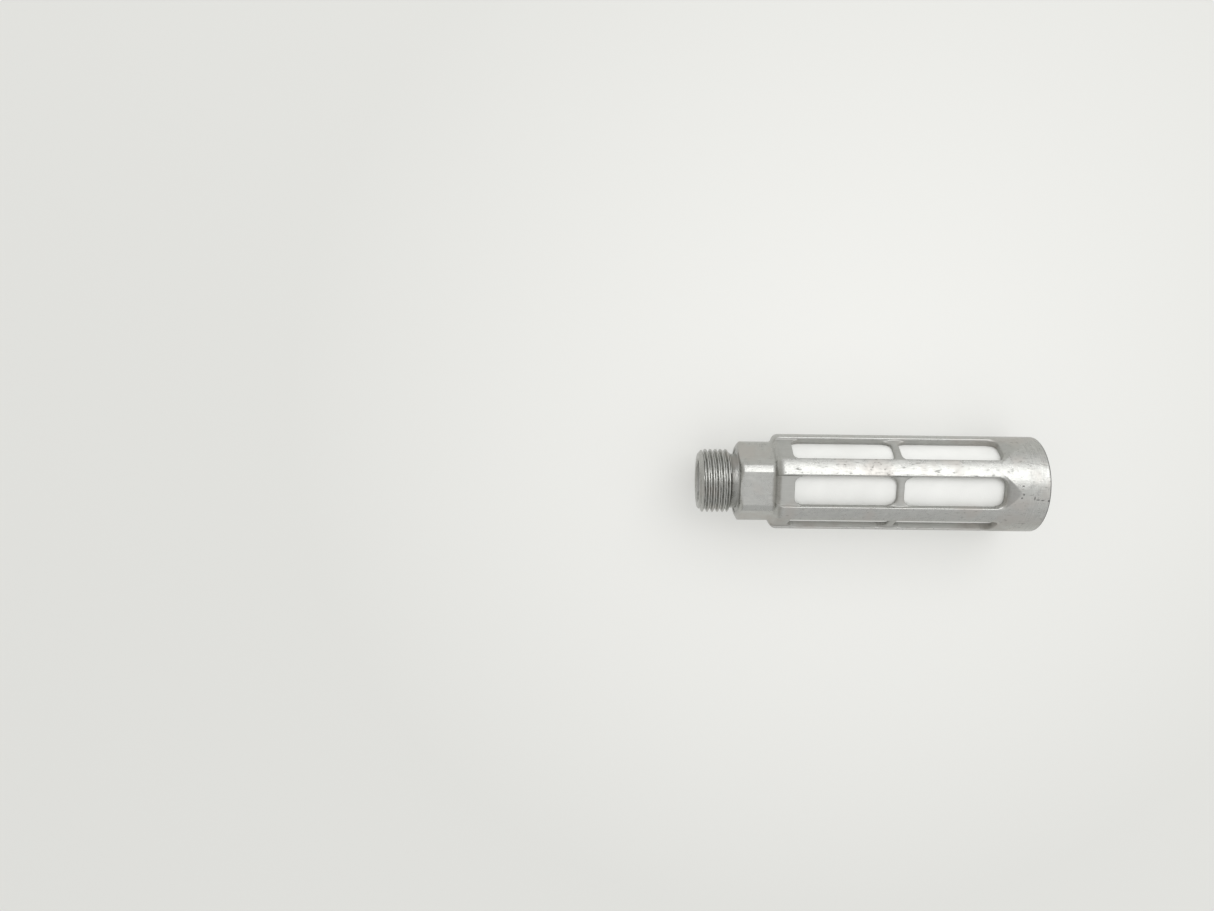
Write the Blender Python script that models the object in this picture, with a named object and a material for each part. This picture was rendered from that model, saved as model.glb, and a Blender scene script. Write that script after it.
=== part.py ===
"""A screw-in exhaust muffler: a die-cast cage with a hexagon and a male pipe thread, around a porous sleeve.

The axis runs along +X. The origin is on the axis, in the plane of the shoulder that seats on the port: the thread
is on the -X side and the closed end on the +X side. A flat of the hexagon and a row of windows face +Z.
"""

import math

import bmesh
import bpy
from mathutils import Matrix

# Driving dimensions, in metres.
BODY_RADIUS = 0.0125
BODY_END = 0.0778
BODY_EDGE = 0.00045
HEX_ACROSS_FLATS = 0.019
HEX_CORNER_RADIUS = 0.01045
HEX_END = 0.0089
HEX_CHAMFER = 0.0006
SEAT_LAND_RADIUS = 0.0085
SEAT_UNDERCUT = 0.0002
SHOULDER_RADIUS = 0.0019

THREAD_LENGTH = 0.010
THREAD_CREST_RADIUS = 0.00833
THREAD_ROOT_RADIUS = 0.00748
THREAD_PITCH = 0.001337
THREAD_CHAMFER = 0.0008
RUNOUT_LENGTH = 0.0016
RUNOUT_RADIUS = 0.00715

INLET_RADIUS = 0.0056
INLET_CHAMFER = 0.0005
BAY_START = 0.013
BAY_RADIUS = 0.01055
COVER_STEP = 0.0731
COVER_BORE_RADIUS = 0.0112
GROOVE_START = 0.0750
GROOVE_END = 0.0766
GROOVE_RADIUS = 0.0118

CHANNEL_COUNT = 6
CHANNEL_FLOOR = 0.0112
CHANNEL_END = 0.0670
CHANNEL_RAMP_FOOT = 0.0672
CHANNEL_RAMP_HEIGHT = 0.01185
CHANNEL_RAMP_SLOPE = math.radians(9.5)
CHANNEL_HALF_WIDTH = 0.00415
CHANNEL_RIM_HEIGHT = 0.01175
CHANNEL_DRAFT = math.radians(20)
WINDOW_STARTS = (0.0136, 0.0415)
WINDOW_ENDS = (0.0396, 0.0669)
WINDOW_LEDGE = 0.00015
WINDOW_CORNER = 0.0018

CLEARANCE = 0.0003
SLEEVE_END = 0.0700
SLEEVE_WALL = 0.0030
SLEEVE_EDGE = 0.0003
PLUG_FLANGE = 0.0028
PLUG_SPIGOT = 0.0022
COVER_THICKNESS = 0.0013
COVER_RIM = 0.0022
COVER_DISH = 0.0004
RING_WIDTH = 0.0010
RING_OVERLAP = 0.0009
RING_OPENING = math.radians(36)

ROUND_STEPS = 60
THREAD_STEPS_PER_TURN = 24
BEVEL_STEPS = 3
SMOOTH_ANGLE = math.radians(35)
MERGE_DISTANCE = 1e-7


def clear_scene():
    for obj in list(bpy.data.objects):
        bpy.data.objects.remove(obj, do_unlink=True)


def make_material(name, colour, roughness, metallic):
    material = bpy.data.materials.new(name)
    material.use_nodes = True
    shader = material.node_tree.nodes["Principled BSDF"]
    shader.inputs["Base Color"].default_value = (*colour, 1.0)
    shader.inputs["Roughness"].default_value = roughness
    shader.inputs["Metallic"].default_value = metallic
    return material


def make_object(name, bm, material=None):
    """Closes the bmesh into a named object; one without a material is a cutter, left out of the model."""
    bmesh.ops.remove_doubles(bm, verts=bm.verts, dist=MERGE_DISTANCE)
    bmesh.ops.recalc_face_normals(bm, faces=bm.faces)
    mesh = bpy.data.meshes.new(name)
    bm.to_mesh(mesh)
    bm.free()
    mesh.shade_smooth()
    mesh.set_sharp_from_angle(angle=SMOOTH_ANGLE)
    obj = bpy.data.objects.new(name, mesh)
    bpy.context.scene.collection.objects.link(obj)
    if material:
        mesh.materials.append(material)
    else:
        obj.hide_render = True
        obj.display_type = "WIRE"
    return obj


def turn(bm, outline, closed=True, angle=math.tau, steps=ROUND_STEPS):
    """Turns an outline of (x, radius) points about the X axis; an open one starts and ends on the axis."""
    verts = [bm.verts.new((x, 0.0, radius)) for x, radius in outline]
    edges = [bm.edges.new(pair) for pair in zip(verts, verts[1:])]
    if closed:
        edges.append(bm.edges.new((verts[-1], verts[0])))
    bmesh.ops.spin(
        bm,
        geom=verts + edges,
        axis=(1.0, 0.0, 0.0),
        cent=(0.0, 0.0, 0.0),
        angle=angle,
        steps=steps,
    )


def around_axis(bm, verts, count):
    """Repeats the geometry of these vertices about the X axis, so that there are count copies in all."""
    source = list({face for vert in verts for face in vert.link_faces})
    for index in range(1, count):
        copied = bmesh.ops.duplicate(bm, geom=source)
        moved = [part for part in copied["geom"] if isinstance(part, bmesh.types.BMVert)]
        turned = Matrix.Rotation(math.tau * index / count, 4, "X")
        bmesh.ops.transform(bm, matrix=turned, verts=moved)


def channel_half_width(height):
    """Half the width of a channel at this height above the axis; its side walls lean outwards."""
    return CHANNEL_HALF_WIDTH - (CHANNEL_RIM_HEIGHT - height) * math.tan(CHANNEL_DRAFT)


def shoulder_arc():
    """The rounded rise from the hexagon to the body, as (x, radius) points."""
    centre_x = HEX_END + SHOULDER_RADIUS
    centre_r = BODY_RADIUS - SHOULDER_RADIUS
    count = 5
    angles = [math.radians(90 * index / count) for index in range(count + 1)]
    return [
        (centre_x - SHOULDER_RADIUS * math.cos(a), centre_r + SHOULDER_RADIUS * math.sin(a))
        for a in angles
    ]


def housing_outline():
    """The turned shape of the cage, thread core and bores, before the hexagon and the channels are cut."""
    outside = [
        (-THREAD_LENGTH, THREAD_ROOT_RADIUS - THREAD_CHAMFER),
        (-THREAD_LENGTH + THREAD_CHAMFER, THREAD_ROOT_RADIUS),
        (-RUNOUT_LENGTH, THREAD_ROOT_RADIUS),
        (-RUNOUT_LENGTH, RUNOUT_RADIUS),
        (SEAT_UNDERCUT, RUNOUT_RADIUS),
        (SEAT_UNDERCUT, SEAT_LAND_RADIUS),
        (0.0, SEAT_LAND_RADIUS),
        (0.0, HEX_CORNER_RADIUS - 2 * HEX_CHAMFER),
        (HEX_CHAMFER, HEX_CORNER_RADIUS),
        (HEX_END, HEX_CORNER_RADIUS),
        *shoulder_arc(),
        (BODY_END - BODY_EDGE, BODY_RADIUS),
        (BODY_END, BODY_RADIUS - BODY_EDGE),
    ]
    inside = [
        (BODY_END, COVER_BORE_RADIUS),
        (GROOVE_END, COVER_BORE_RADIUS),
        (GROOVE_END, GROOVE_RADIUS),
        (GROOVE_START, GROOVE_RADIUS),
        (GROOVE_START, COVER_BORE_RADIUS),
        (COVER_STEP, COVER_BORE_RADIUS),
        (COVER_STEP, BAY_RADIUS),
        (BAY_START, BAY_RADIUS),
        (BAY_START, INLET_RADIUS),
        (-THREAD_LENGTH + INLET_CHAMFER, INLET_RADIUS),
        (-THREAD_LENGTH, INLET_RADIUS + INLET_CHAMFER),
    ]
    return outside + inside


def make_thread_ridge():
    """One helical ridge of the pipe thread, its foot sunk into the core."""
    foot = THREAD_ROOT_RADIUS - 0.0002
    half_foot = 0.39 * THREAD_PITCH
    half_crest = 0.10 * THREAD_PITCH
    start = -THREAD_LENGTH + THREAD_CHAMFER + half_foot
    turns = (THREAD_LENGTH - THREAD_CHAMFER - RUNOUT_LENGTH - 2 * half_foot) / THREAD_PITCH
    steps = round(turns * THREAD_STEPS_PER_TURN)
    bm = bmesh.new()
    section = [
        (start - half_foot, foot),
        (start - half_crest, THREAD_CREST_RADIUS),
        (start + half_crest, THREAD_CREST_RADIUS),
        (start + half_foot, foot),
    ]
    face = bm.faces.new([bm.verts.new((x, 0.0, radius)) for x, radius in section])
    bmesh.ops.spin(
        bm,
        geom=[face, *face.edges, *face.verts],
        axis=(1.0, 0.0, 0.0),
        cent=(0.0, 0.0, 0.0),
        dvec=(turns * THREAD_PITCH / steps, 0.0, 0.0),
        angle=turns * math.tau,
        steps=steps,
    )
    return make_object("thread_ridge_shape", bm)


def make_hexagon_cutter():
    """A ring whose hole is the hexagon: it trims the collar to its six flats."""
    outer_radius = BODY_RADIUS + 0.002
    ends = (-0.0005, HEX_END)
    bm = bmesh.new()
    loops = []
    for x, wide in ((ends[0], False), (ends[1], False), (ends[1], True), (ends[0], True)):
        loop = []
        for index in range(ROUND_STEPS):
            angle = math.tau * index / ROUND_STEPS
            off_flat = (angle + math.pi / 6) % (math.pi / 3) - math.pi / 6
            radius = outer_radius if wide else HEX_ACROSS_FLATS / 2 / math.cos(off_flat)
            loop.append(bm.verts.new((x, -radius * math.sin(angle), radius * math.cos(angle))))
        loops.append(loop)
    for near, far in zip(loops, loops[1:] + loops[:1]):
        for index in range(ROUND_STEPS):
            after = (index + 1) % ROUND_STEPS
            bm.faces.new((near[index], near[after], far[after], far[index]))
    return make_object("hexagon_cutter", bm)


def make_channel_cutter():
    """Six channels: a flat floor that ends in a steep wall, and beyond it a ramp that runs out on the body."""
    top = BODY_RADIUS + 0.001
    ramp_end = CHANNEL_RAMP_FOOT + (top - CHANNEL_RAMP_HEIGHT) / math.tan(CHANNEL_RAMP_SLOPE)
    profile = [
        (HEX_END - 0.001, CHANNEL_FLOOR),
        (CHANNEL_END, CHANNEL_FLOOR),
        (CHANNEL_RAMP_FOOT, CHANNEL_RAMP_HEIGHT),
        (ramp_end, top),
        (HEX_END - 0.001, top),
    ]
    bm = bmesh.new()
    sides = [
        [bm.verts.new((x, sign * channel_half_width(height), height)) for x, height in profile]
        for sign in (1, -1)
    ]
    bm.faces.new(sides[0])
    bm.faces.new(reversed(sides[1]))
    for index in range(len(profile)):
        after = (index + 1) % len(profile)
        bm.faces.new((sides[0][index], sides[1][index], sides[1][after], sides[0][after]))
    around_axis(bm, list(bm.verts), CHANNEL_COUNT)
    return make_object("channel_cutter", bm)


def make_window_cutter():
    """Two windows with rounded corners in each channel's floor, as wide as the floor but for a narrow ledge."""
    low = BAY_RADIUS - 0.0012
    high = CHANNEL_FLOOR + 0.0003
    half_width = channel_half_width(CHANNEL_FLOOR) - WINDOW_LEDGE
    bm = bmesh.new()
    for start, end in zip(WINDOW_STARTS, WINDOW_ENDS):
        placed = Matrix.Translation(((start + end) / 2, 0.0, (low + high) / 2))
        sized = Matrix.Diagonal((end - start, 2 * half_width, high - low, 1.0))
        box = bmesh.ops.create_cube(bm, size=1.0, matrix=placed @ sized)
        edges = {edge for vert in box["verts"] for edge in vert.link_edges}
        upright = [edge for edge in edges if abs(edge.verts[0].co.z - edge.verts[1].co.z) > 1e-5]
        bmesh.ops.bevel(
            bm, geom=upright, offset=WINDOW_CORNER, segments=BEVEL_STEPS, profile=0.5, affect="EDGES"
        )
    around_axis(bm, list(bm.verts), CHANNEL_COUNT)
    return make_object("window_cutter", bm)


def make_housing(material):
    bm = bmesh.new()
    turn(bm, housing_outline())
    housing = make_object("housing", bm, material)
    for operation, shape in (
        ("DIFFERENCE", make_hexagon_cutter()),
        ("DIFFERENCE", make_channel_cutter()),
        ("DIFFERENCE", make_window_cutter()),
        ("UNION", make_thread_ridge()),
    ):
        modifier = housing.modifiers.new(shape.name, "BOOLEAN")
        modifier.operation = operation
        modifier.solver = "EXACT"
        modifier.object = shape
    return housing


def make_sleeve(material):
    """The porous tube that the air leaves through."""
    start = BAY_START + CLEARANCE
    outer = BAY_RADIUS - CLEARANCE
    inner = outer - SLEEVE_WALL
    bm = bmesh.new()
    turn(
        bm,
        [
            (start, inner),
            (start, outer - SLEEVE_EDGE),
            (start + SLEEVE_EDGE, outer),
            (SLEEVE_END - SLEEVE_EDGE, outer),
            (SLEEVE_END, outer - SLEEVE_EDGE),
            (SLEEVE_END, inner),
        ],
    )
    return make_object("porous_sleeve", bm, material)


def make_sleeve_plug(material):
    """The porous plug that closes the sleeve: a flange with a spigot that fits the sleeve's bore."""
    flange_start = SLEEVE_END + CLEARANCE
    flange_radius = BAY_RADIUS - CLEARANCE
    spigot_radius = BAY_RADIUS - 2 * CLEARANCE - SLEEVE_WALL
    bm = bmesh.new()
    turn(
        bm,
        [
            (flange_start - PLUG_SPIGOT, 0.0),
            (flange_start - PLUG_SPIGOT, spigot_radius - SLEEVE_EDGE),
            (flange_start - PLUG_SPIGOT + SLEEVE_EDGE, spigot_radius),
            (flange_start, spigot_radius),
            (flange_start, flange_radius),
            (flange_start + PLUG_FLANGE, flange_radius),
            (flange_start + PLUG_FLANGE, 0.0),
        ],
        closed=False,
    )
    return make_object("sleeve_plug", bm, material)


def make_end_cover(material):
    """The dished disc that closes the cage behind the plug."""
    start = COVER_STEP + CLEARANCE
    radius = COVER_BORE_RADIUS - CLEARANCE
    bm = bmesh.new()
    turn(
        bm,
        [
            (start, 0.0),
            (start, radius),
            (start + COVER_THICKNESS, radius),
            (start + COVER_THICKNESS, radius - COVER_RIM),
            (start + COVER_THICKNESS - COVER_DISH, radius - COVER_RIM - COVER_DISH),
            (start + COVER_THICKNESS - COVER_DISH, 0.0),
        ],
        closed=False,
    )
    return make_object("end_cover", bm, material)


def make_retaining_ring(material):
    """The open spring ring that sits in the groove and keeps the cover in."""
    start = GROOVE_START + CLEARANCE
    outer = GROOVE_RADIUS - CLEARANCE
    inner = COVER_BORE_RADIUS - RING_OVERLAP
    bm = bmesh.new()
    section = [
        (start, inner),
        (start, outer),
        (start + RING_WIDTH, outer),
        (start + RING_WIDTH, inner),
    ]
    face = bm.faces.new([bm.verts.new((x, 0.0, radius)) for x, radius in section])
    from_bottom = Matrix.Rotation(math.pi + RING_OPENING / 2, 4, "X")
    bmesh.ops.transform(bm, matrix=from_bottom, verts=bm.verts)
    bmesh.ops.spin(
        bm,
        geom=[face, *face.edges, *face.verts],
        axis=(1.0, 0.0, 0.0),
        cent=(0.0, 0.0, 0.0),
        angle=math.tau - RING_OPENING,
        steps=ROUND_STEPS - 6,
    )
    return make_object("retaining_ring", bm, material)


def main():
    clear_scene()
    cast_aluminium = make_material("cast_aluminium", (0.66, 0.66, 0.63), 0.36, 1.0)
    porous_polymer = make_material("porous_polymer", (0.84, 0.84, 0.81), 0.9, 0.0)
    pressed_aluminium = make_material("pressed_aluminium", (0.72, 0.72, 0.71), 0.3, 1.0)
    spring_steel = make_material("spring_steel", (0.32, 0.32, 0.33), 0.4, 1.0)
    make_housing(cast_aluminium)
    make_sleeve(porous_polymer)
    make_sleeve_plug(porous_polymer)
    make_end_cover(pressed_aluminium)
    make_retaining_ring(spring_steel)


main()
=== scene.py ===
import math
import bmesh
import bpy
import numpy as np
from mathutils import Matrix, Vector


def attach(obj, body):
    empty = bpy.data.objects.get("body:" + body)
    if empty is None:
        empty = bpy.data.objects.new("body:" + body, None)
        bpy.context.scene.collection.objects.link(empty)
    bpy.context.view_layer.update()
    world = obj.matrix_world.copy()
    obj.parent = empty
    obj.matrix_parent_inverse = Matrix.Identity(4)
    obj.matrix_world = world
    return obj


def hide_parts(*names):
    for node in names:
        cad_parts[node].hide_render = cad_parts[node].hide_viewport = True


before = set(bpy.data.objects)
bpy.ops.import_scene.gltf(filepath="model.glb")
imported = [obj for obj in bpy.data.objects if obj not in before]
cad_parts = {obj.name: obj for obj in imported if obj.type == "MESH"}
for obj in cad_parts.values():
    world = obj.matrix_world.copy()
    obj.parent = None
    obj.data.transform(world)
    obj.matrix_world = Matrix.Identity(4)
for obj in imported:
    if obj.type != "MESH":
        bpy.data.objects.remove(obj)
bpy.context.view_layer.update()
mm = 0.001
print("frame loaded")


# Wraps an output socket of a material, so that an expression on values adds its Math nodes.
class Socket:
    def __init__(self, shader, output):
        self.shader = shader
        self.output = output

    def maths(self, operation, first, second):
        return self.shader.node("ShaderNodeMath", {"operation": operation}, {0: first, 1: second})[0]

    def __add__(self, other):
        return self.maths("ADD", self, other)

    def __radd__(self, other):
        return self.maths("ADD", other, self)

    def __sub__(self, other):
        return self.maths("SUBTRACT", self, other)

    def __rsub__(self, other):
        return self.maths("SUBTRACT", other, self)

    def __mul__(self, other):
        return self.maths("MULTIPLY", self, other)

    def __rmul__(self, other):
        return self.maths("MULTIPLY", other, self)

    def clamp(self):
        return self.shader.node("ShaderNodeClamp", {}, {"Value": self})[0]


# One node material: node() makes any node, set up first and wired after.
class Shader:
    def __init__(self, name):
        self.material = bpy.data.materials.new(name)
        self.material.use_nodes = True
        self.tree = self.material.node_tree
        self.surface = self.tree.nodes["Principled BSDF"]

    def node(self, kind, settings, inputs):
        made = self.tree.nodes.new(kind)
        for key, value in settings.items():
            setattr(made, key, value)
        for key, value in inputs.items():
            self.join(value, made.inputs[key])
        return [Socket(self, output) for output in made.outputs if output.enabled]

    def join(self, value, target):
        if isinstance(value, Socket):
            self.tree.links.new(value.output, target)
        else:
            target.default_value = value

    def place(self, scale=(1, 1, 1), turn=(0, 0, 0)):
        coordinates = self.tree.nodes.new("ShaderNodeTexCoord").outputs["Object"]
        return self.node("ShaderNodeMapping", {}, {
            "Vector": Socket(self, coordinates), "Scale": scale, "Rotation": turn})[0]

    def noise(self, place, size, detail=3.0, roughness=0.5):
        return self.node("ShaderNodeTexNoise", {}, {
            "Vector": place, "Scale": 1 / (size * mm), "Detail": detail, "Roughness": roughness})[0]

    def level(self, value, low, high, to=(0, 1)):
        return self.node("ShaderNodeMapRange", {}, {
            "Value": value, "From Min": low, "From Max": high, "To Min": to[0], "To Max": to[1]})[0]

    def mix(self, factor, first, second):
        made = self.tree.nodes.new("ShaderNodeMix")
        made.data_type = "RGBA"
        for value, slot in ((factor, 0), (first, 6), (second, 7)):
            self.join(value, made.inputs[slot])
        return Socket(self, made.outputs[2])

    def axes(self):
        # x, y and z in metres
        return self.node("ShaderNodeSeparateXYZ", {}, {0: self.place()})

    def vector(self, operation, first, second=(0, 0, 0)):
        return self.node("ShaderNodeVectorMath", {"operation": operation}, {0: first, 1: second})[0]

    def radius(self):
        # distance from the X axis
        return self.vector("LENGTH", self.place(scale=(0, 1, 1)))

    def combine(self, x, y, z):
        return self.node("ShaderNodeCombineXYZ", {}, {0: x, 1: y, 2: z})[0]

    def nicks(self, spots, radius):
        # one soft ellipse on a cylinder for each (x, degrees, half length, half width)
        masks = []
        for x, degrees, length, width in spots:
            angle = math.radians(degrees)
            centre = (x * mm, -radius * mm * math.sin(angle), radius * mm * math.cos(angle))
            offset = self.vector("SUBTRACT", self.place(), centre)
            scale = (1 / (length * mm), 1 / (width * mm), 1 / (width * mm))
            away = self.vector("LENGTH", self.vector("MULTIPLY", offset, scale))
            masks.append(self.level(away, 1.0, 0.5))
        total = masks[0]
        for mask in masks[1:]:
            total = total + mask
        return total.clamp()

    def bump(self, height, depth, after=None):
        inputs = {"Height": height, "Distance": depth * mm}
        if after:
            inputs["Normal"] = after
        return self.node("ShaderNodeBump", {}, inputs)[0]

    def finish(self, sockets):
        for key, value in sockets.items():
            self.join(value, self.surface.inputs[key])
        return self.material


# A mesh from points in millimetres and quads or triangles, closed, shaded smooth but for its sharp edges.
def makePiece(name, points, faces, material, sharpAngle=38):
    mesh = bpy.data.meshes.new(name)
    mesh.from_pydata((np.asarray(points) * mm).tolist(), [], [list(face) for face in faces])
    mesh.validate()
    mesh.shade_smooth()
    mesh.set_sharp_from_angle(angle=math.radians(sharpAngle))
    mesh.materials.append(material)
    piece = bpy.data.objects.new(name, mesh)
    bpy.context.scene.collection.objects.link(piece)
    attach(piece, "root")
    return piece


# Bezier curve of two to four control points at the values t, as rows.
def bezier(points, t):
    points = np.asarray(points, float)
    t = np.asarray(t, float)[:, None]
    while len(points) > 1:
        points = np.asarray([a + (b - a) * t for a, b in zip(points, points[1:])])
    return points[0]


# Points on a corner of an outline, cut back by radius on both sides and rounded.
def roundCorner(before, corner, after, radius, count=4):
    before, corner, after = (np.asarray(p, float) for p in (before, corner, after))
    start = corner + (before - corner) * radius / np.linalg.norm(before - corner)
    end = corner + (after - corner) * radius / np.linalg.norm(after - corner)
    return bezier([start, corner, end], np.linspace(0, 1, count)).tolist()


# An outline of (x, radius, rounding) points with each rounding made an arc.
def roundOutline(outline, closed=True):
    made = []
    last = len(outline) - 1
    for index, (x, radius, rounding) in enumerate(outline):
        if rounding and (closed or 0 < index < last):
            before = outline[index - 1][:2]
            after = outline[(index + 1) % len(outline)][:2]
            made += roundCorner(before, (x, radius), after, rounding)
        else:
            made.append([x, radius])
    return np.asarray(made)


# An outline turned about X: y = -r sin a, z = r cos a. An open one starts and ends on the axis.
def turned(name, outline, material, steps=128, closed=True, sharpAngle=38):
    profile = roundOutline(outline, closed)
    angle = np.arange(steps) * math.tau / steps
    rows = len(profile)
    x = np.repeat(profile[:, :1], steps, axis=1)
    y = -profile[:, 1:] * np.sin(angle)
    z = profile[:, 1:] * np.cos(angle)
    points = np.stack([x, y, z], axis=-1).reshape(-1, 3)
    row = np.arange(rows if closed else rows - 1)[:, None]
    column = np.arange(steps)[None, :]
    nextRow = (row + 1) % rows
    nextColumn = (column + 1) % steps
    quads = np.stack([row * steps + column, row * steps + nextColumn,
                      nextRow * steps + nextColumn, nextRow * steps + column], axis=-1).reshape(-1, 4)
    return makePiece(name, *tidyMesh(points, quads), material, sharpAngle)


# Points that coincide are made one, faces that lose their area are dropped, and all are turned outwards.
def tidyMesh(points, faces):
    mesh = bpy.data.meshes.new("working")
    mesh.from_pydata(np.asarray(points).tolist(), [], [list(face) for face in faces])
    bm = bmesh.new()
    bm.from_mesh(mesh)
    bmesh.ops.remove_doubles(bm, verts=bm.verts, dist=1e-4)
    bmesh.ops.dissolve_degenerate(bm, edges=bm.edges, dist=1e-5)
    bmesh.ops.recalc_face_normals(bm, faces=bm.faces)
    bm.to_mesh(mesh)
    openEdges = sum(1 for edge in bm.edges if len(edge.link_faces) != 2)
    bm.free()
    madePoints = np.empty(len(mesh.vertices) * 3)
    mesh.vertices.foreach_get("co", madePoints)
    madeFaces = [tuple(polygon.vertices) for polygon in mesh.polygons]
    bpy.data.meshes.remove(mesh)
    if openEdges:
        print("open edges", openEdges)
    return madePoints.reshape(-1, 3), madeFaces


cage = {
    "bodyRadius": 12.5, "bodyEnd": 77.8, "endEdge": 0.4,
    "flatDistance": 9.5, "cornerRadius": 10.45, "cornerSoftness": 0.04,
    "seatRadius": 9.25, "chamferSlope": 1.732, "hexEnd": 8.1,
    "floorHeight": 11.2, "barHeight": 11.25, "barEdge": 0.4, "floorEdge": 0.15,
    "rimWidth": 4.14, "rimHeight": 11.79, "draft": math.radians(26),
    "rimRound": 0.28, "rootRound": 0.16,
    "windowCorner": 1.9, "windowStart": 13.6, "barCentre": 40.42, "barHalf": 0.95, "windowEnd": 66.8,
    "rampHeight": 11.86, "rampTip": 71.2, "rampTaper": 0.93, "rampLast": 70.8,
    "endLean": math.radians(14),
    "boreRadius": 10.5, "bayStart": 13.0, "bayEnd": 73.1,
    "coverBore": 11.2, "grooveStart": 75.0, "grooveEnd": 76.6, "grooveRadius": 11.8,
    "inletRadius": 5.6, "threadEnd": -10.0,
    "threadRadius": 8.33, "threadRoot": 7.48, "pitch": 1.337, "threadStart": -1.7, "reliefRadius": 7.15,
}


# Half width of a channel at a height above the axis: its walls lean out by the draft.
def wallWidth(height):
    return cage["rimWidth"] - (cage["rimHeight"] - height) * math.tan(cage["draft"])


cornerTurns = np.radians([0, 14, 27, 39, 51, 62, 72, 80, 86, 90])
straightCount = 3
rootFirst = straightCount + 7  # column where the floor starts to curve into the wall
rootLast = rootFirst + 2  # column where the window's side edge runs
wallCount = 2
rimCount = 5
rimFirst = rootLast + wallCount + 1
rimLast = rimFirst + rimCount - 1
hexCornerAngle = math.acos(cage["flatDistance"] / cage["cornerRadius"])
ribAngles = np.concatenate([
    np.radians([22.6]), hexCornerAngle + np.radians([-0.45, 0.0, 0.45]), np.radians([26.4, 28.2, 30.0])])
columnCount = rimLast + 1 + len(ribAngles)
columns = np.arange(columnCount)
cornerTurn = np.zeros(columnCount)
cornerTurn[straightCount:rootLast + 1] = cornerTurns
cornerTurn[rootLast + 1:] = math.pi / 2
ribShare = np.clip((columns - rootFirst) / (rimLast - rootFirst), 0, 1)


# Half of one channel and its rib across the axis: flat floor, rounded root, leaning wall, rounded rim, body arc.
def crossSection(floorHeight):
    width = wallWidth(floorHeight)
    root = cage["rootRound"]
    straight = width - cage["windowCorner"]
    floorEnd = width - root
    lean = np.array([math.sin(cage["draft"]), math.cos(cage["draft"])])
    wallFoot = np.array([width, floorHeight]) + lean * root
    rim = np.array([cage["rimWidth"], math.sqrt(cage["bodyRadius"] ** 2 - cage["rimWidth"] ** 2)])
    wallTop = rim - lean * cage["rimRound"]
    across = np.array([rim[1], -rim[0]]) / cage["bodyRadius"]
    rimEnd = rim + across * cage["rimRound"]
    rimEnd = rimEnd * cage["bodyRadius"] / np.linalg.norm(rimEnd)
    flat = np.linspace(0, straight, straightCount, endpoint=False)
    bend = straight + (floorEnd - straight) * np.sin(cornerTurns[:8]) / math.sin(cornerTurns[7])
    across = np.concatenate([flat, bend])
    floor = np.stack([across, np.full_like(across, floorHeight)], axis=-1)
    rootArc = bezier([[floorEnd, floorHeight], [width, floorHeight], wallFoot], [0.5, 1.0])
    wall = wallFoot + (wallTop - wallFoot) * (np.arange(1, wallCount + 1) / (wallCount + 1))[:, None]
    rimArc = bezier([wallTop, rim, rimEnd], np.linspace(0, 1, rimCount))
    rib = cage["bodyRadius"] * np.stack([np.sin(ribAngles), np.cos(ribAngles)], axis=-1)
    return np.concatenate([floor, rootArc, wall, rimArc, rib])


# The same columns on the hexagon: a flat, then the turned corner, with a soft meeting of the two.
def hexSection():
    cageSection = crossSection(cage["floorHeight"])
    floorAngle = np.arctan(cageSection[:, 0] * 0.83 / cage["flatDistance"])
    ribAngle = np.arctan2(cageSection[:, 0], cageSection[:, 1])
    between = np.interp(columns, [rootFirst, rimLast], [floorAngle[rootFirst], ribAngle[rimLast]])
    angle = np.where(columns <= rootFirst, floorAngle, np.where(columns >= rimLast, ribAngle, between))
    flat = cage["flatDistance"] / np.cos(angle)
    soft = cage["cornerSoftness"]
    blend = np.clip(0.5 + (cage["cornerRadius"] - flat) / soft / 2, 0, 1)
    radius = flat * blend + cage["cornerRadius"] * (1 - blend) - soft * blend * (1 - blend)
    return angle, radius


# Where a window's rounded end lies in each column, from its furthest point at x back along the window.
def windowOffset(x, side):
    return x + side * cage["windowCorner"] * (1 - np.cos(cornerTurn))


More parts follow.
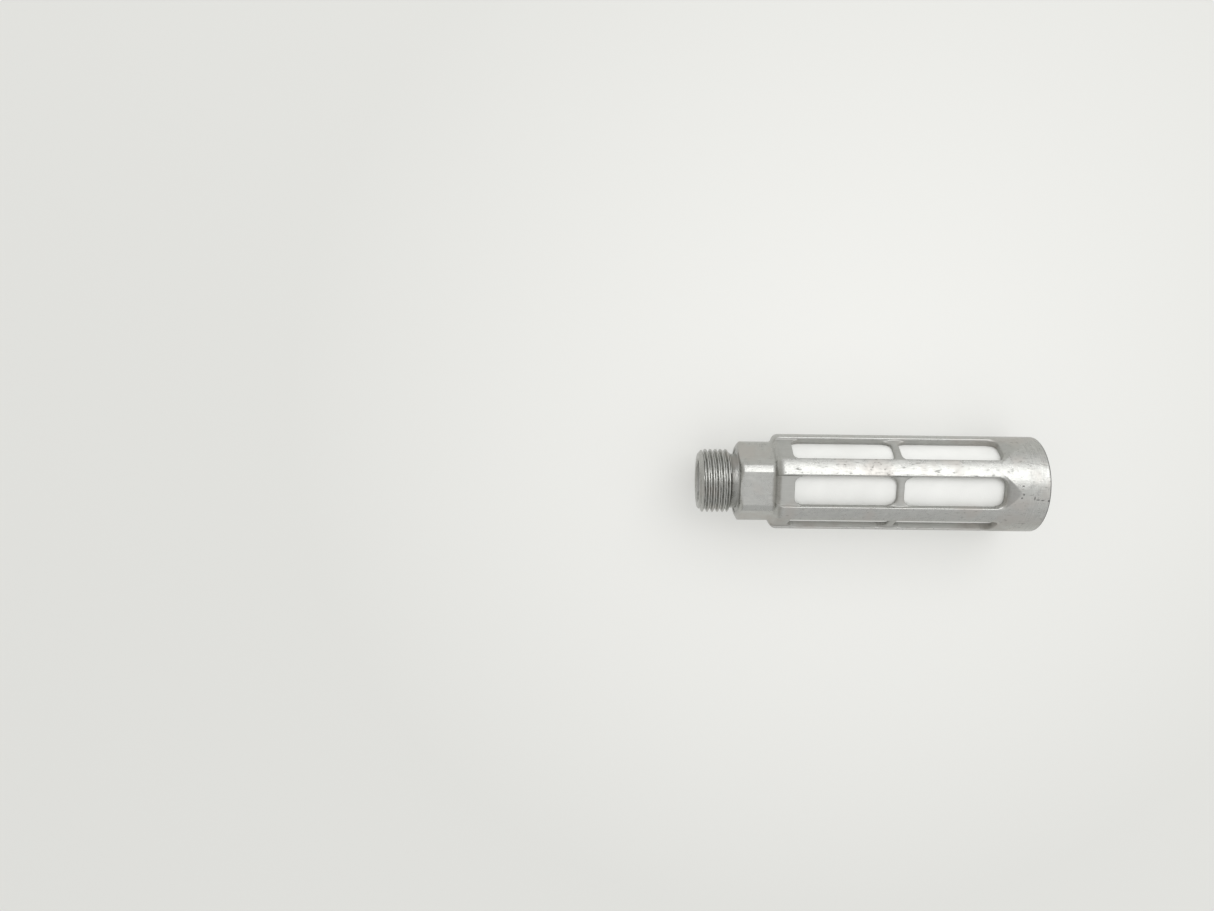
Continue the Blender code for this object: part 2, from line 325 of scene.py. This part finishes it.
# Lines round the housing from the seat to the end rim, each an array of (x, w, u), and the window edges among them.
def outerLines():
    lines = []
    marks = {}

    def add(x, section, mark=None):
        x = np.broadcast_to(np.asarray(x, float), columnCount)
        lines.append(np.column_stack([x, section]))
        if mark:
            marks[mark] = len(lines) - 1

    # hexagon, with a cone that cuts its corners back at the seat
    angle, radius = hexSection()
    hexagon = radius[:, None] * np.stack([np.sin(angle), np.cos(angle)], axis=-1)
    circle = cage["seatRadius"] * np.stack([np.sin(angle), np.cos(angle)], axis=-1)
    chamfer = (radius - cage["seatRadius"]) / cage["chamferSlope"]
    add(0.0, circle)
    add(chamfer * 0.55, circle + (hexagon - circle) * 0.55)
    add(chamfer * 0.93, circle + (hexagon - circle) * 0.93)
    add(chamfer + 0.06, hexagon)
    for x in (1.2, 3.5, 6.0, cage["hexEnd"] - 0.5):
        add(x, hexagon)

    # shoulder: each column climbs from the hexagon to the floor or the body along its own curve
    section = crossSection(cage["floorHeight"])
    start = cage["hexEnd"]
    step = np.linspace(0, 1, 7)
    ribCurve = np.concatenate([
        bezier([[start, 0], [start + 0.62, 0], [start + 0.82, 0.12]], step[:-1]),
        bezier([[start + 0.82, 0.12], [start + 1.15, 0.62], [start + 1.7, 1.0], [start + 2.9, 1.0]],
               np.linspace(0, 1, 11))])
    floorCurve = np.concatenate([
        bezier([[start - 0.2, 0], [start + 0.45, 0], [start + 0.8, 0.2]], step[:-1]),
        bezier([[start + 0.8, 0.2], [start + 1.3, 0.66], [start + 1.65, 1.0], [start + 2.5, 1.0]],
               np.linspace(0, 1, 11))])
    for onFloor, onRib in zip(floorCurve, ribCurve):
        x = onFloor[0] + (onRib[0] - onFloor[0]) * ribShare
        climb = (onFloor[1] + (onRib[1] - onFloor[1]) * ribShare)[:, None]
        add(x, hexagon + (section - hexagon) * climb)

    # floor up to the first window's rounded edge
    windowEdge = windowOffset(cage["windowStart"], 1)
    floorStart = lines[-1][:, 0].copy()
    for share in (0.3, 0.62, 0.88):
        add(floorStart + (windowEdge - floorStart) * share, section)
    lowered = crossSection(cage["floorHeight"] - cage["floorEdge"])
    add(windowEdge - cage["floorEdge"] * (~(columns > rootLast)), section)
    add(windowEdge, lowered, "windowA")

    # the bar between the windows, its edges rounded off
    reach = cage["barHalf"] + cage["windowCorner"] * (1 - np.cos(cornerTurn))
    before = windowEdge
    for share in (0.05, 0.35, 0.65, 0.95):
        x = before + (cage["barCentre"] - reach - before) * share
        add(x, section)
    shares = np.sin(np.linspace(-math.pi / 2, math.pi / 2, 11))
    for index, share in enumerate(shares):
        drop = cage["barEdge"] * (1 - math.sqrt(max(0, 1 - share ** 2)))
        mark = {0: "barA", len(shares) - 1: "barB"}.get(index)
        add(cage["barCentre"] + share * reach, crossSection(cage["barHeight"] - drop), mark)
    after = lines[-1][:, 0].copy()
    windowEnd = windowOffset(cage["windowEnd"], -1)
    for share in (0.05, 0.35, 0.65, 0.95):
        add(after + (windowEnd - after) * share, section)

    # the channel's end: a steep wall round the window's end, then a ramp that flattens out onto the body
    add(windowEnd, section, "windowB")
    width = wallWidth(cage["floorHeight"])
    straight = width - cage["windowCorner"]
    cornerX = cage["windowEnd"] - cage["windowCorner"]
    isRib = columns > rimLast

    def rampAt(x):  # height of the ramp, whose edge on the body runs straight to its tip
        across = np.clip(cage["rampTaper"] * (cage["rampTip"] - x), 0, cage["rimWidth"] + 0.2)
        return np.sqrt(cage["bodyRadius"] ** 2 - across ** 2)

    def onTop(x, w):
        return np.where(x > cage["rampLast"], np.sqrt(cage["bodyRadius"] ** 2 - w ** 2),
                        np.minimum(np.sqrt(cage["bodyRadius"] ** 2 - w ** 2), rampAt(x)))

    share = np.clip((columns - straightCount) / (rimLast - straightCount), 0, 1)
    turn = share * math.pi / 2
    height = np.full(columnCount, cage["rampHeight"])
    lean = math.tan(cage["endLean"])
    for _ in range(4):
        rise = height - cage["floorHeight"]
        growAlong = cage["windowCorner"] + rise * lean
        growAcross = cage["windowCorner"] + rise * math.tan(cage["draft"])
        across = np.where(columns < straightCount, section[:, 0], straight + growAcross * np.sin(turn))
        along = cornerX + growAlong * np.cos(turn) + 0.3 * share
        height = onTop(along, across)
    onBody = np.sqrt(cage["bodyRadius"] ** 2 - across ** 2)
    across = np.where(isRib, section[:, 0], across)
    height = np.where(isRib, section[:, 1], height)
    along = np.where(isRib, cornerX + 0.3, along)
    foot = np.column_stack([windowEnd, section])
    rim = np.column_stack([along, across, height])
    shallow = 0.22
    ledge = rim.copy()
    ledge[:, 0] += shallow
    ledge[:, 2] = np.where(isRib, height, onTop(ledge[:, 0], across))
    for share in (0.3, 0.6):
        lines.append(foot + (rim - foot) * share)
    length = np.linalg.norm(rim - foot, axis=1)[:, None]
    under = rim + (foot - rim) * np.minimum(0.35, shallow / np.maximum(length, 1e-6))
    for row in (under, 0.25 * under + 0.5 * rim + 0.25 * ledge, ledge):
        lines.append(row)
    arch = np.minimum(cage["rampTip"] - across / cage["rampTaper"], cage["rampLast"])
    arch = np.where(isRib, 0, arch)
    arch = np.maximum(arch, ledge[:, 0] + 0.35)
    for share, offset in ((0.25, 0), (0.5, 0), (0.75, 0), (1, -0.12), (1, 0.01), (1, 0.13)):
        x = ledge[:, 0] + (arch - ledge[:, 0]) * share + offset
        lines.append(np.column_stack([x, across, np.where(isRib, height, onTop(x, across))]))
    endX = cage["bodyEnd"] - cage["endEdge"]
    angle = np.arctan2(across, onBody)
    angle = np.where(isRib, np.arctan2(section[:, 0], section[:, 1]), angle)
    circle = np.stack([np.sin(angle), np.cos(angle)], axis=-1)
    body = lines[-1][:, 0]
    for share in (0.2, 0.5, 0.8, 0.97):
        lines.append(np.column_stack([body + (endX - body) * share, circle * cage["bodyRadius"]]))
    edge = bezier([[endX, cage["bodyRadius"]], [cage["bodyEnd"], cage["bodyRadius"]],
                   [cage["bodyEnd"], cage["bodyRadius"] - cage["endEdge"]]], np.linspace(0, 1, 6))
    for x, radius in edge:
        lines.append(np.column_stack([np.full(columnCount, x), circle * radius]))
    return lines, marks, angle


# Radius of the pipe thread: a rounded ridge that advances one pitch for each turn, faded out at both ends.
def threadRadius(x, angle):
    phase = (x / cage["pitch"] - angle / math.tau) * math.tau
    middle = (cage["threadRadius"] + cage["threadRoot"]) / 2
    depth = (cage["threadRadius"] - cage["threadRoot"]) / 2
    wave = np.clip(np.sin(phase) * 1.25, -1, 1)
    ridge = middle + depth * wave
    into = np.clip((x - cage["threadEnd"] - 0.1) / 0.9, 0, 1)
    outOf = np.clip((cage["threadStart"] - x) / 0.5, 0, 1)
    low = cage["reliefRadius"] + 0.05
    return np.minimum(ridge, low + (cage["threadRadius"] - low) * np.minimum(into, outOf))


def buildHousing(material):
    lines, marks, endAngle = outerLines()
    rows = []

    # Six channels of two mirrored halves: the half line from one rib's middle round to the next.
    def full(line):
        half = line[::-1][:-1]
        half = np.column_stack([half[:, 0], -half[:, 1], half[:, 2]])
        pair = np.concatenate([half, line[:-1]])
        turns = np.arange(6) * math.pi / 3
        x = np.tile(pair[:, 0], 6)
        w = np.concatenate([pair[:, 1] * math.cos(t) + pair[:, 2] * math.sin(t) for t in turns])
        u = np.concatenate([pair[:, 2] * math.cos(t) - pair[:, 1] * math.sin(t) for t in turns])
        return np.column_stack([x, -w, u])

    def ring(x, radius, angle):
        section = np.stack([np.sin(angle), np.cos(angle)], axis=-1)
        radius = np.broadcast_to(np.asarray(radius, float), len(angle))[:, None]
        return np.column_stack([np.broadcast_to(np.asarray(x, float), len(angle)), section * radius])

    for line in lines:
        rows.append(full(line))
    # round the rim and down the cover's seat
    seat = roundOutline([
        (cage["bodyEnd"], cage["bodyRadius"] - cage["endEdge"] - 0.05, 0), (cage["bodyEnd"], cage["coverBore"], 0.25),
        (cage["grooveEnd"], cage["coverBore"], 0.06), (cage["grooveEnd"], cage["grooveRadius"], 0.06),
        (cage["grooveStart"], cage["grooveRadius"], 0.06), (cage["grooveStart"], cage["coverBore"], 0.06),
        (cage["bayEnd"], cage["coverBore"], 0.08), (cage["bayEnd"], cage["boreRadius"], 0.1),
        (cage["bayEnd"] - 0.4, cage["boreRadius"], 0)], closed=False)
    for x, radius in seat:
        rows.append(full(ring(x, radius, endAngle)))
    # the bore, column by column under the outer lines, so that the windows' edges meet
    section = crossSection(cage["floorHeight"])
    boreAngle = np.where(columns <= rootLast, np.arcsin(np.clip(section[:, 0] / cage["boreRadius"], -1, 1)), 0)
    boreAngle = np.where(columns > rootLast, np.interp(
        columns, [rootLast, columnCount - 1], [boreAngle[rootLast], math.pi / 6]), boreAngle)
    boreRow = {}
    for index in range(marks["windowB"], marks["windowA"] - 1, -1):
        if marks["barA"] < index < marks["barB"]:
            continue
        boreRow[index] = len(rows)
        rows.append(full(ring(lines[index][:, 0], cage["boreRadius"], boreAngle)))
    inlet = roundOutline([
        (cage["bayStart"] + 0.3, cage["boreRadius"], 0), (cage["bayStart"], cage["boreRadius"], 0.15),
        (cage["bayStart"], cage["inletRadius"], 0.4), (cage["threadEnd"], cage["inletRadius"], 0.5),
        (cage["threadEnd"], cage["reliefRadius"] - 0.1, 0.08)], closed=False)
    plainAngle = ribAngles[-1] * columns / (columnCount - 1)
    for x, radius in inlet:
        rows.append(full(ring(x, radius, boreAngle if x > cage["bayStart"] - 0.2 and radius > 9 else plainAngle)))
    # the thread, whose height depends on the angle all the way round
    for x in np.arange(cage["threadEnd"] + 0.05, cage["threadStart"] + 0.05, cage["pitch"] / 13):
        base = full(ring(x, 1.0, plainAngle))
        angle = np.arctan2(-base[:, 1], base[:, 2])
        radius = threadRadius(x, angle)[:, None]
        rows.append(np.column_stack([base[:, 0], base[:, 1:] * radius]))
    relief = roundOutline([
        (cage["threadStart"] + 0.1, cage["reliefRadius"], 0), (0.2, cage["reliefRadius"], 0.2),
        (0.2, 8.45, 0.05), (0.0, 8.45, 0.05), (0.0, cage["seatRadius"] - 0.1, 0)], closed=False)
    for x, radius in relief:
        rows.append(full(ring(x, radius, plainAngle)))

    points = np.concatenate(rows)
    around = len(rows[0])
    rowCount = len(rows)
    row = np.arange(rowCount)[:, None]
    column = np.arange(around)[None, :]
    nextRow = (row + 1) % rowCount
    nextColumn = (column + 1) % around
    quads = np.stack([row * around + column, row * around + nextColumn,
                      nextRow * around + nextColumn, nextRow * around + column], axis=-1)
    # columns of the floor, between a window's two side edges
    perSector = 2 * (columnCount - 1)
    fromCentre = (column % perSector) - (columnCount - 1)
    inWindow = ((fromCentre >= -rootLast) & (fromCentre < rootLast))[0]
    keep = np.ones((rowCount, around), bool)
    reveals = []
    for first, last in (("windowA", "barA"), ("barB", "windowB")):
        first, last = marks[first], marks[last]
        keep[first:last, inWindow] = False
        keep[boreRow[last]:boreRow[first], inWindow] = False
        for index in (first, last):
            at = np.arange(around)[inWindow]
            after = (at + 1) % around
            reveals.append(np.stack([index * around + at, index * around + after,
                                     boreRow[index] * around + after, boreRow[index] * around + at], axis=-1))
        side = np.arange(around)[np.abs(fromCentre[0]) == rootLast]
        for index in range(first, last):
            reveals.append(np.stack([index * around + side, (index + 1) * around + side,
                                     boreRow[index + 1] * around + side, boreRow[index] * around + side], axis=-1))
    faces = np.concatenate([quads[keep], *reveals])
    piece = makePiece("castHousing", *tidyMesh(points, faces), material, 42)
    print("housing", len(piece.data.polygons), "faces")
    return piece


aluminiumLook = {"tint": (0.435, 0.437, 0.418), "warm": (0.452, 0.432, 0.405), "rough": 0.3,
                 "nicks": ((73.75, 4.6, 0.22, 0.6), (74.6, 6.5, 0.6, 0.22), (75.8, 7.2, 0.6, 0.2),
                           (77.3, 7.6, 0.3, 0.4), (70.7, -9.2, 0.35, 0.28), (70.9, 0.4, 0.3, 0.36),
                           (70.5, 4.6, 0.32, 0.3), (58.9, -20.2, 0.6, 0.16), (60.6, -17.6, 0.7, 0.16))}


def castAluminium():
    # tumbled casting: broad warm clouds, a fine mottle, flecks drawn out along the body, scratches both ways,
    # turning marks round the end ring, and a few nicks at (x, degrees from +Z towards -Y, half length, half width);
    # also painted shade on the channel-end ramps and the end edge
    shader = Shader("castAluminium")
    place = shader.place()
    broad = shader.noise(place, 7.0, 2.0)
    mottle = shader.noise(place, 1.5, 4.0, 0.65)
    fine = shader.noise(place, 0.32, 3.0, 0.6)
    flecks = shader.noise(shader.place(scale=(0.4, 1.0, 1.0)), 0.5, 2.0, 0.55)
    streaks = shader.noise(shader.place(scale=(0.06, 1.0, 1.0)), 0.35, 2.0, 0.6)
    scratchA = shader.noise(shader.place(scale=(0.05, 1.0, 1.0), turn=(0.3, 0.2, 1.0)), 0.25, 1.0)
    scratchB = shader.noise(shader.place(scale=(0.05, 1.0, 1.0), turn=(-0.4, 0.1, -1.2)), 0.3, 1.0)
    rings = shader.noise(shader.place(scale=(1.0, 0.05, 0.05)), 0.2, 2.0, 0.7)
    radius = shader.radius()
    along, _, up = shader.axes()
    body = shader.level(radius, 12.43 * mm, 12.49 * mm)
    recess = shader.level(radius, 12.0 * mm, 11.84 * mm) * shader.level(along, 9.5 * mm, 10.5 * mm)
    # painted shade: the channel-end ramps are darkened in colour (and made a little rougher), fully on the top ramp
    # facing +Z and a quarter as much on the others
    paintedShadeTopWeight = shader.level(up, 10.2 * mm, 11.2 * mm, (0.25, 1))
    ramp = shader.level(along, 66.9 * mm, 67.3 * mm) * (1 - body) * paintedShadeTopWeight
    end = shader.level(along, 71.5 * mm, 72.6 * mm) * body
    # painted shade: a thin dark line round the outer end edge, darkened in colour
    rim = shader.level(along, 77.4 * mm, 77.5 * mm) * shader.level(radius, 12.1 * mm, 12.25 * mm)
    gate = shader.level(mottle, 0.46, 0.56)
    fleckMask = shader.level(flecks, 0.57, 0.66) * gate * body
    scratchMask = (shader.level(scratchA, 0.685, 0.72) + shader.level(scratchB, 0.70, 0.735)).clamp()
    scratchMask = scratchMask * shader.level(radius, 6.0 * mm, 6.6 * mm)
    nickMask = shader.nicks(aluminiumLook["nicks"], cage["bodyRadius"]) * body
    tint = aluminiumLook["tint"]
    dark = tuple(c * 0.88 for c in tint) + (1,)
    light = tuple(c * 1.12 for c in tint) + (1,)
    shade = mottle * 0.5 + fine * 0.2 + streaks * 0.2 + (rings - 0.5) * end * 0.8 + 0.05
    colour = shader.mix(shader.level(shade, 0.36, 0.64), dark, light)
    colour = shader.mix(shader.level(broad, 0.5, 0.66) * 0.7, colour, aluminiumLook["warm"] + (1,))
    # flecks, scratches and nicks darken as real wear; the ramp and end-edge terms are painted shade
    wearAndPaintedShade = (fleckMask * 0.16 + scratchMask * 0.12 + ramp * 0.36 + rim * 0.7 + nickMask * 0.85).clamp()
    colour = shader.mix(wearAndPaintedShade, colour, (0.12, 0.12, 0.118, 1))
    rough = aluminiumLook["rough"]
    roughness = shader.level(mottle * 0.6 + fine * 0.4, 0.34, 0.66, (rough - 0.1, rough + 0.14))
    cloudy = shader.level(broad, 0.52, 0.66)
    roughness = roughness + fleckMask * 0.32 + cloudy * 0.1 + ramp * 0.1 + recess * 0.26
    calm = 1 - recess * 0.8
    normal = shader.bump(mottle * calm, 0.06)
    normal = shader.bump(fine * calm, 0.016, normal)
    normal = shader.bump(streaks * calm, 0.008, normal)
    normal = shader.bump(rings * end, 0.035, normal)
    normal = shader.bump(1 - (fleckMask * 0.5 + scratchMask * 0.3 + nickMask) * calm, 0.03, normal)
    return shader.finish({"Base Color": colour, "Roughness": roughness, "Metallic": 1.0, "Normal": normal})


def plainMetal(name, tint, rough, turning):
    # sheet or wire: a light mottle and, where it was pressed or turned, fine circles about the axis
    shader = Shader(name)
    mottle = shader.noise(shader.place(), 1.2, 4.0, 0.6)
    circles = shader.noise(shader.combine(shader.radius(), 0.0, 0.0), 0.14, 2.0, 0.7)
    light = tuple(c * 1.1 for c in tint) + (1,)
    dark = tuple(c * 0.88 for c in tint) + (1,)
    colour = shader.mix(shader.level(mottle * 0.6 + circles * 0.4, 0.36, 0.64), dark, light)
    roughness = shader.level(mottle, 0.3, 0.7, (rough - 0.06, rough + 0.1))
    normal = shader.bump(mottle, 0.02)
    normal = shader.bump(circles, turning, normal)
    return shader.finish({"Base Color": colour, "Roughness": roughness, "Metallic": 1.0, "Normal": normal})


def porousPolymer():
    # sintered grains: a fine bead pattern and hardly any colour of its own
    shader = Shader("porousPolymer")
    place = shader.place()
    broad = shader.noise(place, 6.0, 2.0)
    bead = shader.node("ShaderNodeTexVoronoi", {"feature": "SMOOTH_F1"}, {
        "Vector": place, "Scale": 1 / (0.28 * mm), "Smoothness": 0.6})[0]
    colour = shader.mix(shader.level(broad, 0.3, 0.7), (0.75, 0.755, 0.735, 1), (0.80, 0.805, 0.785, 1))
    normal = shader.bump(bead, 0.02)
    return shader.finish({"Base Color": colour, "Roughness": 0.75, "Normal": normal})


view = {"sensor": 36.0, "lens": 26.7064, "axisDistance": 238.5, "seatRight": 33.9, "axisDown": 6.65,
        "roll": math.radians(0.68), "windowTurn": math.radians(10.6)}


# The camera looks down on the muffler, so that its axis lies right of and below the picture's middle.
def makeCamera():
    roll, turn = view["roll"], view["windowTurn"]
    axisX = Vector((math.cos(roll), -math.sin(roll), 0))
    tilt = Vector((0, -math.sin(turn), math.cos(turn)))
    axisZ = (tilt - axisX * tilt.dot(axisX)).normalized()
    axisY = axisZ.cross(axisX)
    partInCamera = Matrix((axisX, axisY, axisZ)).transposed()
    origin = Vector((view["seatRight"], -view["axisDown"], -view["axisDistance"]))
    turnBack = partInCamera.transposed()
    data = bpy.data.cameras.new("camera")
    data.sensor_width = view["sensor"]
    data.lens = view["lens"]
    data.clip_start = 0.01
    camera = bpy.data.objects.new("camera", data)
    camera.matrix_world = Matrix.Translation((turnBack @ -origin) * mm) @ turnBack.to_4x4()
    bpy.context.scene.collection.objects.link(camera)
    bpy.context.scene.camera = camera
    return camera


paper = {"reach": 3.0, "colour": (0.46, 0.462, 0.445, 1), "rough": 0.9, "middle": (-0.028, -0.01, 0),
         "glowNear": (0.37, 0.37, 0.362, 1), "glowFar": (0.26, 0.261, 0.253, 1), "near": 0.03, "far": 0.15}


# A flat sheet that the cage lies on, with painted light: a faint glow that fades away from the muffler and washes out
# the shadow under it.
def makeFloor():
    low = -cage["bodyRadius"] * mm
    grid = np.linspace(-paper["reach"], paper["reach"], 9)
    x, y = np.meshgrid(grid, grid)
    points = np.stack([x, y, np.full_like(x, low)], axis=-1).reshape(-1, 3)
    row, column = np.meshgrid(np.arange(8), np.arange(8))
    first = (row * 9 + column).ravel()
    quads = np.stack([first, first + 1, first + 10, first + 9], axis=-1)
    mesh = bpy.data.meshes.new("floor")
    mesh.from_pydata(points.tolist(), [], quads.tolist())
    shader = Shader("floorPaper")
    away = shader.vector("LENGTH", shader.vector("ADD", shader.place(), paper["middle"]))
    glow = shader.mix(shader.level(away, paper["near"], paper["far"]), paper["glowNear"], paper["glowFar"])
    floor = bpy.data.objects.new("floor", mesh)
    mesh.materials.append(shader.finish({
        "Base Color": paper["colour"], "Roughness": paper["rough"],
        "Emission Color": glow, "Emission Strength": 1.0}))
    bpy.context.scene.collection.objects.link(floor)


studio = {"sky": 1.0, "front": 0.8, "left": (0.59, 0.575, 0.545, 1), "soften": 0.04,
          "backdrop": (0.84, 0.84, 0.82, 1),
          "boxTilt": math.radians(34), "boxLean": math.radians(17), "boxDistance": 0.7,
          "boxSize": (0.5, 0.5), "boxRadiance": 1.95}


def makeSoftbox():
    # a rectangle of light square to its own direction, which is turned from +Z towards +Y and then towards +X
    tilt, lean = studio["boxTilt"], studio["boxLean"]
    towards = Vector((math.sin(lean), math.cos(lean) * math.sin(tilt), math.cos(lean) * math.cos(tilt)))
    data = bpy.data.lights.new("softbox", "AREA")
    data.shape = "RECTANGLE"
    data.size, data.size_y = studio["boxSize"]
    data.energy = studio["boxRadiance"] * math.pi * data.size * data.size_y
    light = bpy.data.objects.new("softbox", data)
    side = Vector((1, 0, 0))
    upward = towards.cross(side).normalized()
    side = upward.cross(towards).normalized()
    light.matrix_world = Matrix.Translation(Vector((0.04, 0, 0)) + towards * studio["boxDistance"]) @ Matrix(
        (side, upward, towards)).transposed().to_4x4()
    bpy.context.scene.collection.objects.link(light)


def makeWorld():
    # a pale room: its light falls off low on the -Y side and is dim and warm on the -X side; the backdrop is plain
    world = bpy.data.worlds.new("studio")
    bpy.context.scene.world = world
    world.use_nodes = True
    tree = world.node_tree
    background = tree.nodes["Background"]

    def node(kind, settings, inputs, output=0):
        made = tree.nodes.new(kind)
        for key, value in settings.items():
            setattr(made, key, value)
        for key, value in inputs.items():
            if isinstance(value, bpy.types.NodeSocket):
                tree.links.new(value, made.inputs[key])
            else:
                made.inputs[key].default_value = value
        return made.outputs[output]

    direction = tree.nodes.new("ShaderNodeTexCoord").outputs["Generated"]
    axes = tree.nodes.new("ShaderNodeSeparateXYZ")
    tree.links.new(direction, axes.inputs[0])
    smooth = {"interpolation_type": "SMOOTHSTEP"}
    low = node("ShaderNodeMapRange", smooth, {
        "Value": axes.outputs["Y"], "From Min": -0.3, "From Max": -0.95,
        "To Min": studio["sky"], "To Max": studio["front"]})
    upper = node("ShaderNodeMapRange", {}, {
        "Value": axes.outputs["Y"], "From Min": -0.1, "From Max": 0.5, "To Min": 0.0, "To Max": 0.3})
    shifted = node("ShaderNodeMath", {"operation": "ADD"}, {0: axes.outputs["X"], 1: upper})
    left = node("ShaderNodeMapRange", smooth, {
        "Value": shifted, "From Min": 0.12, "From Max": -0.6, "To Min": 0.0, "To Max": 1.0})
    sided = node("ShaderNodeMix", {"data_type": "RGBA"}, {0: left, 6: (1, 1, 1, 1), 7: studio["left"]}, 2)
    paths = tree.nodes.new("ShaderNodeLightPath").outputs
    lifted = node("ShaderNodeMath", {"operation": "MULTIPLY_ADD"}, {
        0: paths["Is Diffuse Ray"], 1: studio["soften"], 2: 1.0})
    strength = node("ShaderNodeMath", {"operation": "MULTIPLY"}, {0: low, 1: lifted})
    lit = node("ShaderNodeVectorMath", {"operation": "SCALE"}, {0: sided, "Scale": strength})
    shown = node("ShaderNodeMix", {"data_type": "RGBA"}, {
        0: paths["Is Camera Ray"], 6: lit, 7: studio["backdrop"]}, 2)
    tree.links.new(shown, background.inputs["Color"])
    background.inputs["Strength"].default_value = 1.0
    bpy.context.scene.view_settings.view_transform = "Standard"


makeCamera()
makeFloor()
makeWorld()
makeSoftbox()
print("stage set")

aluminium = castAluminium()
porous = porousPolymer()
housing = buildHousing(aluminium)
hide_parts("housing")

tube = {"start": 13.1, "end": 70.0, "inner": 7.25, "outer": 10.45, "edge": 0.2, "outerEdge": 0.3}
sleeve = turned("sinteredTube", [
    (tube["start"], tube["inner"], tube["edge"]), (tube["start"], tube["outer"], tube["outerEdge"]),
    (tube["end"], tube["outer"], tube["outerEdge"]), (tube["end"], tube["inner"], tube["edge"])], porous)
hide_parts("porous_sleeve")

stopper = {"start": 68.1, "spigot": 7.2, "step": 70.05, "flange": 10.4, "end": 73.1, "edge": 0.3}
plug = turned("sinteredPlug", [
    (stopper["start"], 0.0, 0), (stopper["start"], stopper["spigot"], 0.5), (stopper["step"], stopper["spigot"], 0.1),
    (stopper["step"], stopper["flange"], stopper["edge"]), (stopper["end"], stopper["flange"], stopper["edge"]),
    (stopper["end"], 0.0, 0)], porous, closed=False)
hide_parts("sleeve_plug")

pressed = plainMetal("pressedAluminium", (0.56, 0.56, 0.55), 0.28, 0.02)
disc = {"back": 73.4, "face": 74.7, "radius": 10.9, "rim": 8.9, "dish": 74.2, "dishRadius": 8.2,
        "dimple": 74.05, "dimpleRim": 1.6, "dimpleRadius": 1.1}
cover = turned("endDisc", [
    (disc["back"], 0.0, 0), (disc["back"], disc["radius"], 0.15), (disc["face"], disc["radius"], 0.3),
    (disc["face"], disc["rim"], 0.35), (disc["dish"], disc["dishRadius"], 0.5),
    (disc["dish"], disc["dimpleRim"], 0.4), (disc["dimple"], disc["dimpleRadius"], 0.3), (disc["dimple"], 0.0, 0)],
    pressed, closed=False)
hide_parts("end_cover")

steel = plainMetal("springSteel", (0.24, 0.24, 0.25), 0.34, 0.0)
wire = {"start": 75.2, "end": 76.3, "inner": 10.3, "outer": 11.7, "opening": 36}


# A flat spring ring, open at the bottom, its section a rounded rectangle and its ends rounded off.
def buildRing():
    section = roundOutline([(wire["start"], wire["inner"], 0.2), (wire["start"], wire["outer"], 0.2),
                            (wire["end"], wire["outer"], 0.2), (wire["end"], wire["inner"], 0.2)])
    centre = section.mean(axis=0)
    half = math.radians(wire["opening"] / 2)
    angle = np.linspace(math.pi + half, 3 * math.pi - half, 121)
    fade = np.ones_like(angle)
    rounding = np.sin(np.linspace(0.25, math.pi / 2, 5))
    fade[:5] = rounding
    fade[-5:] = rounding[::-1]
    scaled = centre + (section - centre)[None] * fade[:, None, None]
    x = scaled[..., 0]
    y = -scaled[..., 1] * np.sin(angle)[:, None]
    z = scaled[..., 1] * np.cos(angle)[:, None]
    points = np.stack([x, y, z], axis=-1).reshape(-1, 3)
    count = len(section)
    row = np.arange(len(angle) - 1)[:, None]
    column = np.arange(count)[None, :]
    after = (column + 1) % count
    quads = np.stack([row * count + column, row * count + after,
                      (row + 1) * count + after, (row + 1) * count + column], axis=-1).reshape(-1, 4)
    ends = [list(range(count)), list(range(len(points) - count, len(points)))]
    return makePiece("snapRing", *tidyMesh(points, quads.tolist() + ends), steel, 45)


snapRing = buildRing()
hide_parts("retaining_ring")
